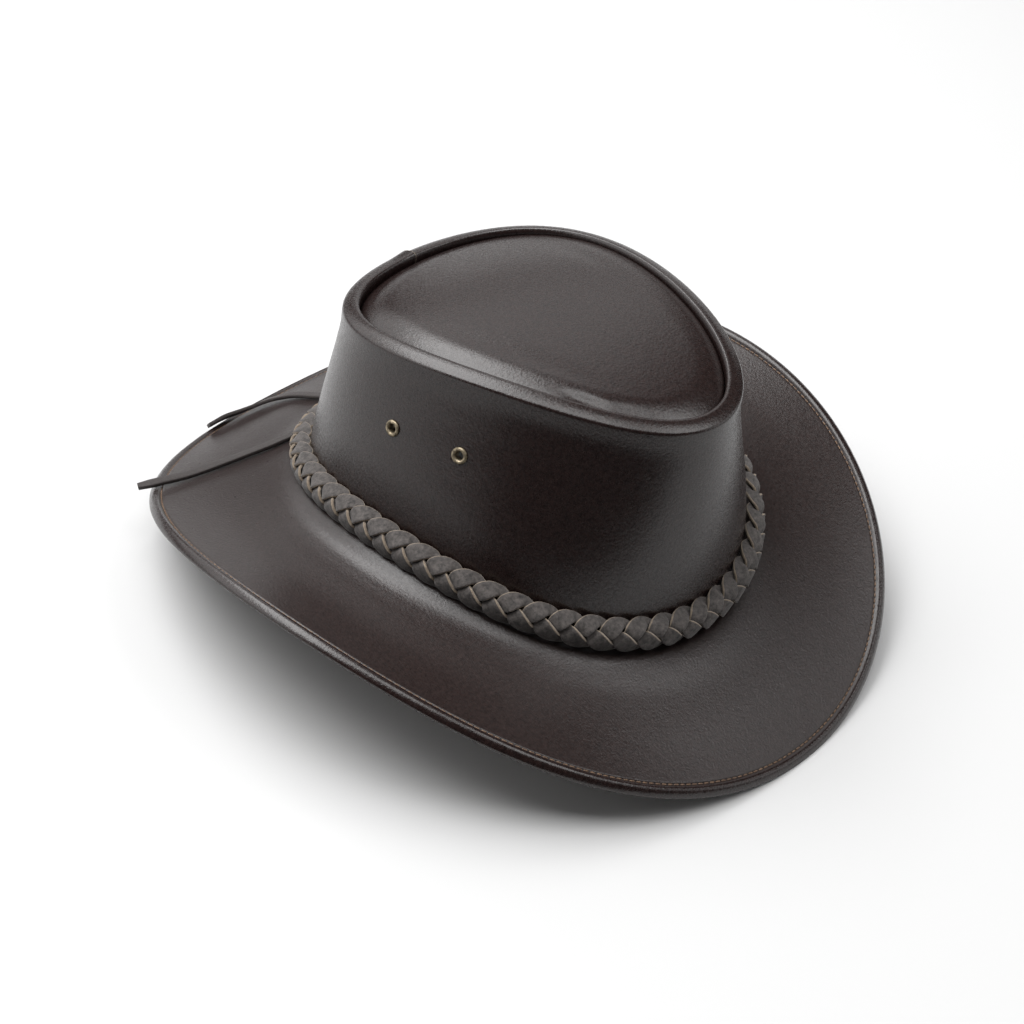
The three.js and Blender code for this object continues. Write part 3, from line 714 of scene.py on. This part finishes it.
# Height over the straight line from crown to edge, as a share of that line, by how far
# out it is: at the sides, and at the front and back.
side_height = curve_through([(0, 0), (0.04, 0.014), (0.065, 0.014), (0.09, -0.001), (0.12, -0.022),
                             (0.15, -0.042), (0.2, -0.062), (0.27, -0.074), (0.38, -0.08), (0.58, -0.077),
                             (0.78, -0.046), (1, 0)])
end_height = curve_through([(0, 0), (0.12, 0.03), (0.36, 0.03), (0.58, 0.03), (0.78, 0.018), (1, 0)])


def brim_point(t, out):
    start = beside(BREAK, t, 0 * t, -BRIM_LEATHER / 2)
    end = line_point(EDGE, t)
    point = start + (end - start) * out[..., None]
    rise = end_height(out) + (side_height(out) - end_height(out)) * np.sin(t) ** 2
    point[..., 2] += rise * np.linalg.norm(end - start, axis=-1)
    return point


def brim_face(t, out, height):
    """Points over (or under) the middle of the leather."""
    across = brim_point(t + 0.01, out) - brim_point(t - 0.01, out)
    along = brim_point(t, np.minimum(1, out + 0.01)) - brim_point(t, np.maximum(0, out - 0.01))
    return brim_point(t, out) + unit(np.cross(across, along)) * np.asarray(height, dtype=float)[..., None]


def collar_point(t, height, depth):
    """The collar stands inside the crown wall and follows it."""
    up = height / (line_point(SEAM, t)[..., 2] - line_point(BREAK, t)[..., 2])
    across = wall_point(t + 0.01, up) - wall_point(t - 0.01, up)
    rise = wall_point(t, up + 0.01) - wall_point(t, up - 0.01)
    return wall_point(t, up) - unit(np.cross(rise, across)) * depth


def bent(first, corner, last, count):
    """Points on a smooth turn between two points, as leather bends round a corner."""
    s = np.linspace(0, 1, count)[:, None, None]
    return (1 - s) ** 2 * first + 2 * s * (1 - s) * corner + s * s * last


# %% Brim mesh
# Round the bead: in from the brim's edge and up from the middle of the leather, in
# millimetres. It starts at the sewn groove and ends with the cut edge underneath.
BEAD = [(6.5, 1.1), (6.1, 1.02), (5.85, 0.72), (5.6, 0.6), (5.3, 0.78), (4.8, 1.35), (4.1, 1.85),
        (3.2, 2.06), (2.5, 1.94), (1.9, 1.64), (1.3, 1.17), (0.8, 0.62), (0.4, 0.06), (0.1, -0.5),
        (0, -1.05), (0.2, -1.55), (0.7, -1.9), (1.5, -2.1), (2.4, -2.18), (3.6, -2.2), (5.2, -2.2),
        (6.8, -2.2), (8.4, -2.2), (8.9, -2.1), (9.05, -1.7), (9.1, -1.2)]
BURNISHED_ROWS = slice(6, 14)
FIRST_FLESH_ROW = 22
brim_columns = np.linspace(0, 2 * np.pi, 721)[:-1]
reach = np.linalg.norm(line_point(BREAK, brim_columns) - line_point(EDGE, brim_columns), axis=-1)
ones = np.ones_like(brim_columns)


def brim_row(out, height):
    return brim_face(brim_columns, out * ones, height * ones)


def bead_row(inwards, height):
    return brim_face(brim_columns, 1 - inwards / reach, height * ones)


half = BRIM_LEATHER / 2
outer_depth = WALL_LEATHER + GAP
inner_depth = outer_depth + BRIM_LEATHER
upper = [collar_point(brim_columns, h * ones, outer_depth) for h in (COLLAR_HEIGHT, COLLAR_MIDDLE)]
upper += list(bent(collar_point(brim_columns, COLLAR_FOOT * ones, outer_depth),
                   beside(BREAK, brim_columns, -outer_depth * ones, 0), brim_row(0.05, half), 5))
upper += [brim_row(out, half) for out in np.r_[np.linspace(0.07, 0.4, 20), np.linspace(0.43, 0.9, 14)]]
bead = [bead_row(*place) for place in BEAD]
lower = [brim_row(out, -half) for out in np.linspace(0.86, 0.1, 14)]
lower += list(bent(brim_row(0.06, -half), beside(BREAK, brim_columns, -inner_depth * ones, -1),
                   collar_point(brim_columns, COLLAR_FOOT * ones, inner_depth), 6))
lower += [collar_point(brim_columns, h * ones, inner_depth) for h in (COLLAR_MIDDLE, COLLAR_HEIGHT)]
brim_rows = np.array(upper + bead + lower)
brim_rows[..., 2] = np.maximum(brim_rows[..., 2], 0)
looks = np.zeros(brim_rows.shape[:2], dtype=int)
looks[len(upper):][BURNISHED_ROWS] = 2
looks[len(upper) + FIRST_FLESH_ROW:] = 1
brim = piece_from_points("leather_brim", brim_rows, ring_faces(*brim_rows.shape[:2], True),
                         [BRIM_LEATHER_LOOK, FLESH_SIDE, BURNISHED_HEM], looks.ravel())
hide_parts("brim")

# %% [markdown]
# ## Hem stitches
#
# One row of machine stitches, 3 mm apart, holds the folded edge. On top each stitch
# lies in the groove beside the bead, and the same row shows underneath. The stitches
# are too many to place by hand, so each is the same small bar set along the groove.

# %% Hem stitches
STITCH_PITCH, STITCH_SIDES = 3.0, 8
# Along a stitch, how far each ring is from its middle and how thick it is.
STITCH_RINGS = [(-0.5, 0.15), (-0.42, 0.75), (-0.2, 1), (0.2, 1), (0.42, 0.75), (0.5, 0.15)]


def stitch_bars(name, centre_of, length, radius):
    """Short bars of thread. centre_of gives the groove's points for an array of angles."""
    fine = np.linspace(0, 2 * np.pi, 4001)
    groove = centre_of(fine)
    run = np.r_[0, np.cumsum(np.linalg.norm(np.diff(groove, axis=0), axis=1))]
    count = round(run[-1] / STITCH_PITCH)
    starts = np.arange(count) * run[-1] / count
    angle = np.linspace(0, 2 * np.pi, STITCH_SIDES + 1)[:-1]
    last_ring = (len(STITCH_RINGS) - 1) * STITCH_SIDES
    points, faces = [], []
    for start in starts:
        places = (start + np.array([-0.5, 0.5]) * length) % run[-1]
        ends = np.stack([np.interp(places, run, groove[:, axis]) for axis in range(3)], axis=1)
        along = unit(ends[1] - ends[0])
        side = unit(np.cross(along, [0, 0, 1]))
        over = np.cross(side, along)
        base = len(points)
        for share, swell in STITCH_RINGS:
            centre = ends.mean(axis=0) + along * share * length
            for a in angle:
                points.append(centre + (side * np.cos(a) + over * np.sin(a)) * radius * swell)
        sides = ring_faces(len(STITCH_RINGS), STITCH_SIDES, False)
        faces += [tuple(base + i for i in face) for face in sides]
        faces += [tuple(base + first + i for i in range(STITCH_SIDES)) for first in (0, last_ring)]
    piece = piece_from_points(name, points, faces, [THREAD])
    return piece


def groove_line(inwards, height):
    def centre_of(t):
        far = np.linalg.norm(line_point(BREAK, t) - line_point(EDGE, t), axis=-1)
        return brim_face(t, 1 - inwards / far, height + 0 * t)
    return centre_of


GROOVE_INWARDS = 5.6
stitch_bars("hem_stitches_top", groove_line(GROOVE_INWARDS, 0.75), 2.3, 0.36)
stitch_bars("hem_stitches_under", groove_line(GROOVE_INWARDS, -2.25), 2.2, 0.34)

# %% [markdown]
# ## Plaited band
#
# Three suede strips are plaited flat. Each strip swings from one side of the band to
# the other, over its neighbour on the way in and under the next on the way out. The
# swing is a cosine along the band and the lift repeats twice in each turn, so one
# short table describes a whole plait.

# %% Plait
PLAITS, PLAIT_SWING, PLAIT_ARCH, STRIP_LIFT, STRIP_THICKNESS = 19, 5.1, 2.3, 1.14, 1.5
PLAIT_RAISED, PLAIT_OUT, KNOT_CLEAR = 0.35, 0.5, 7
BAND_OUT, BAND_UP, BAND_LEAN = 5.8, 9.6, math.radians(26)


def band_point(t, across, out):
    level = BAND_OUT - across * math.sin(BAND_LEAN) + out * math.cos(BAND_LEAN)
    return beside(BREAK, t, level, BAND_UP + across * math.cos(BAND_LEAN) + out * math.sin(BAND_LEAN))


fine_angles = np.linspace(0, 2 * np.pi, 2881)
band_middle = band_point(fine_angles, 0 * fine_angles, 0 * fine_angles)
band_run = np.r_[0, np.cumsum(np.linalg.norm(np.diff(band_middle, axis=0), axis=1))]
band_length = band_run[-1]


def angle_at(length):
    """The angle at a length along the band, measured from the back."""
    return np.interp((length + band_length / 2) % band_length, band_run, fine_angles)


def softened(rows, window=15):
    """A value for each degree of half a turn, from a table that repeats."""
    place, value = np.array(rows, dtype=float).T
    even = np.interp(np.arange(180), place, value)
    return np.mean([np.roll(even, shift) for shift in range(-window // 2, window // 2 + 1)], axis=0)


# Through half a turn of the plait, in degrees: how far a strip lies out, and its width.
lift_by_degree = softened([(0, 0.1), (22, 0.85), (45, 1), (68, 1), (84, 0.1), (98, -0.9), (120, -1),
                           (150, -1), (168, -0.6), (180, 0.1)])
width_by_degree = softened([(0, 5.4), (25, 7.2), (50, 8), (75, 7.6), (95, 4.6), (150, 4.4), (180, 5.4)])


def at_phase(by_degree, phase):
    return np.interp(np.degrees(phase) % 180, np.arange(181), np.r_[by_degree, by_degree[0]])


def plait_strip(number):
    turn = band_length / PLAITS
    phase = np.radians(np.arange(0, 360 * (PLAITS + 1), 7.5))
    length = turn * (phase / (2 * np.pi) - number / 3)
    keep = (length > KNOT_CLEAR) & (length < band_length - KNOT_CLEAR)
    phase, length = phase[keep], length[keep]
    t = angle_at(length)
    across = PLAIT_RAISED + PLAIT_SWING * np.cos(phase)
    out = PLAIT_OUT + at_phase(lift_by_degree, phase) * STRIP_LIFT - PLAIT_ARCH * np.cos(phase) ** 2
    centres = band_point(t, across, out)
    along = unit(np.gradient(centres, axis=0))
    rise = 2 * PLAIT_ARCH * np.cos(phase) / PLAIT_SWING
    upwards = band_point(t, across + 1, out - rise) - centres
    sideways = band_point(t + 0.01, across, out) - band_point(t - 0.01, across, out)
    face = unit(np.cross(upwards, sideways))
    side = unit(np.cross(along, face))
    face = np.cross(side, along)
    half_width = at_phase(width_by_degree, phase) / 2
    piece = ribbon(f"plait_strip_{number + 1}", centres, side, face, half_width, STRIP_THICKNESS / 2,
                   [SUEDE_STRIP, CUT_EDGE])
    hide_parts(f"band_strip_{number + 1}")
    return piece


for number in range(3):
    plait_strip(number)
print("plait:", round(band_length / PLAITS, 1), "mm a turn")

# %% [markdown]
# ## Knot
#
# A lace is wound four times round both ends of the plait at the back. The winding is
# a ribbon on a flattened spiral, over a core that stands for the strips' ends.

# %% Knot
KNOT_LENGTH, KNOT_THICKNESS, KNOT_WIDTH, KNOT_TURNS = 20.0, 7.2, 19.0, 4
CORE_HALF_LENGTH, CORE_ROWS, CORE_SIDES, CORE_SHARE, WINDING_SHARE = 9.4, 15, 32, 0.86, 0.93


def knot_ring(length, a, shrink):
    across = KNOT_WIDTH / 2 * shrink * np.cos(a)
    out = KNOT_THICKNESS / 2 * shrink * np.sin(a)
    return band_point(angle_at(length), across, out)


core_length = np.linspace(-CORE_HALF_LENGTH, CORE_HALF_LENGTH, CORE_ROWS)[:, None]
core_angle = np.linspace(0, 2 * np.pi, CORE_SIDES + 1)[:-1][None, :]
core = knot_ring(core_length + 0 * core_angle, core_angle + 0 * core_length, CORE_SHARE)
core_faces = ring_faces(CORE_ROWS, CORE_SIDES, False)
core_faces += [tuple(row * CORE_SIDES + i for i in range(CORE_SIDES)) for row in (0, CORE_ROWS - 1)]
knot_core = piece_from_points("knot_core", core, core_faces, [SUEDE_STRIP])

wind = np.linspace(0, KNOT_TURNS, KNOT_TURNS * 60 + 1)
wind_length = (wind / KNOT_TURNS - 0.5) * (KNOT_LENGTH - 5)
wind_centres = knot_ring(wind_length, 2 * np.pi * wind, WINDING_SHARE)
wind_along = unit(np.gradient(wind_centres, axis=0))
wind_face = unit(wind_centres - knot_ring(wind_length, 2 * np.pi * wind, 0.0))
wind_face = unit(wind_face - wind_along * (wind_face * wind_along).sum(axis=1, keepdims=True))
wind_side = np.cross(wind_along, wind_face)
knot = ribbon("knot_winding", wind_centres, wind_side, wind_face, 2.35, 0.5, [SUEDE_STRIP, CUT_EDGE])
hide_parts("band_knot")
